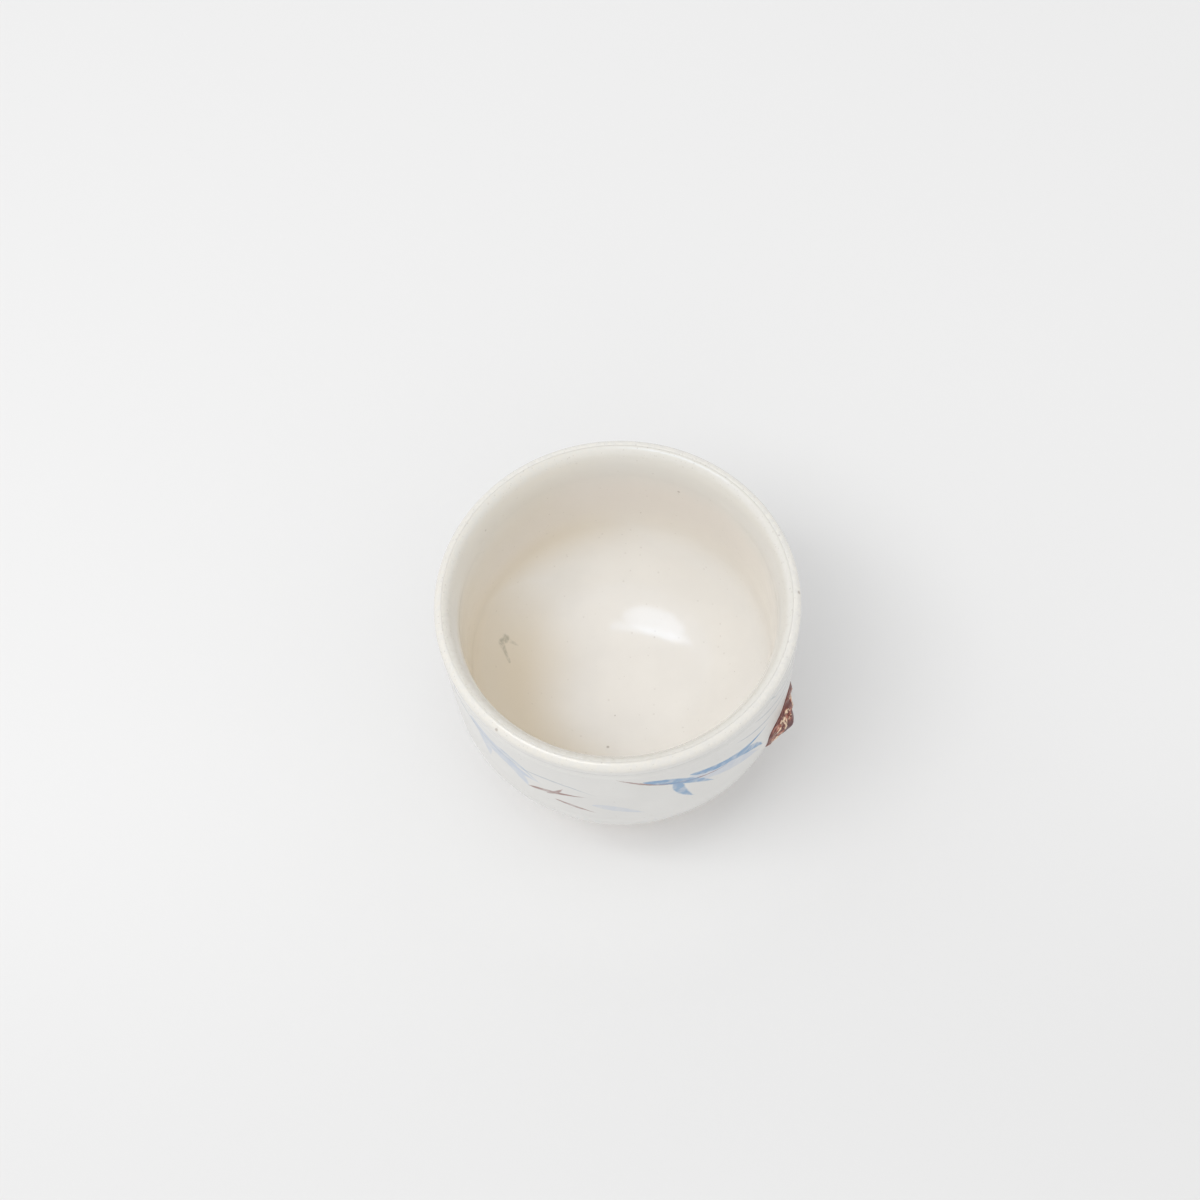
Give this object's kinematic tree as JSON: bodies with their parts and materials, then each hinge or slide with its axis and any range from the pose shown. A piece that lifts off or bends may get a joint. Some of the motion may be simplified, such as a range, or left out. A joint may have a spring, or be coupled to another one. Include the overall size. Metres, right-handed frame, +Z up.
{
  "type": "yunomi teacup",
  "caption": "Round handleless tea cup of thrown stoneware on a foot ring, glazed cream inside and white outside, with a small brown relief boss on its wall.",
  "frame": {"origin": "centre of the foot ring, on the plane that the cup stands on", "axes": "+Z up along the cup's axis, +X to the right and +Y to the back as the picture shows the cup"},
  "size_m": [0.086, 0.086, 0.07],
  "materials": {
    "stoneware": "bare fired stoneware, matt",
    "foot_clay": "bare fired stoneware, matt, turned",
    "cream_glaze": "glossy cream glaze with fine iron specks",
    "white_glaze": "glossy cool white glaze over blue and brown brush strokes",
    "iron_clay": "satin iron brown with worn gold flecks"
  },
  "bodies": {
    "root": {"cup_body": "stoneware", "foot_ring": "foot_clay", "inner_glaze": "cream_glaze", "outer_glaze": "white_glaze", "relief_boss": "iron_clay"}
  },
  "joints": []
}
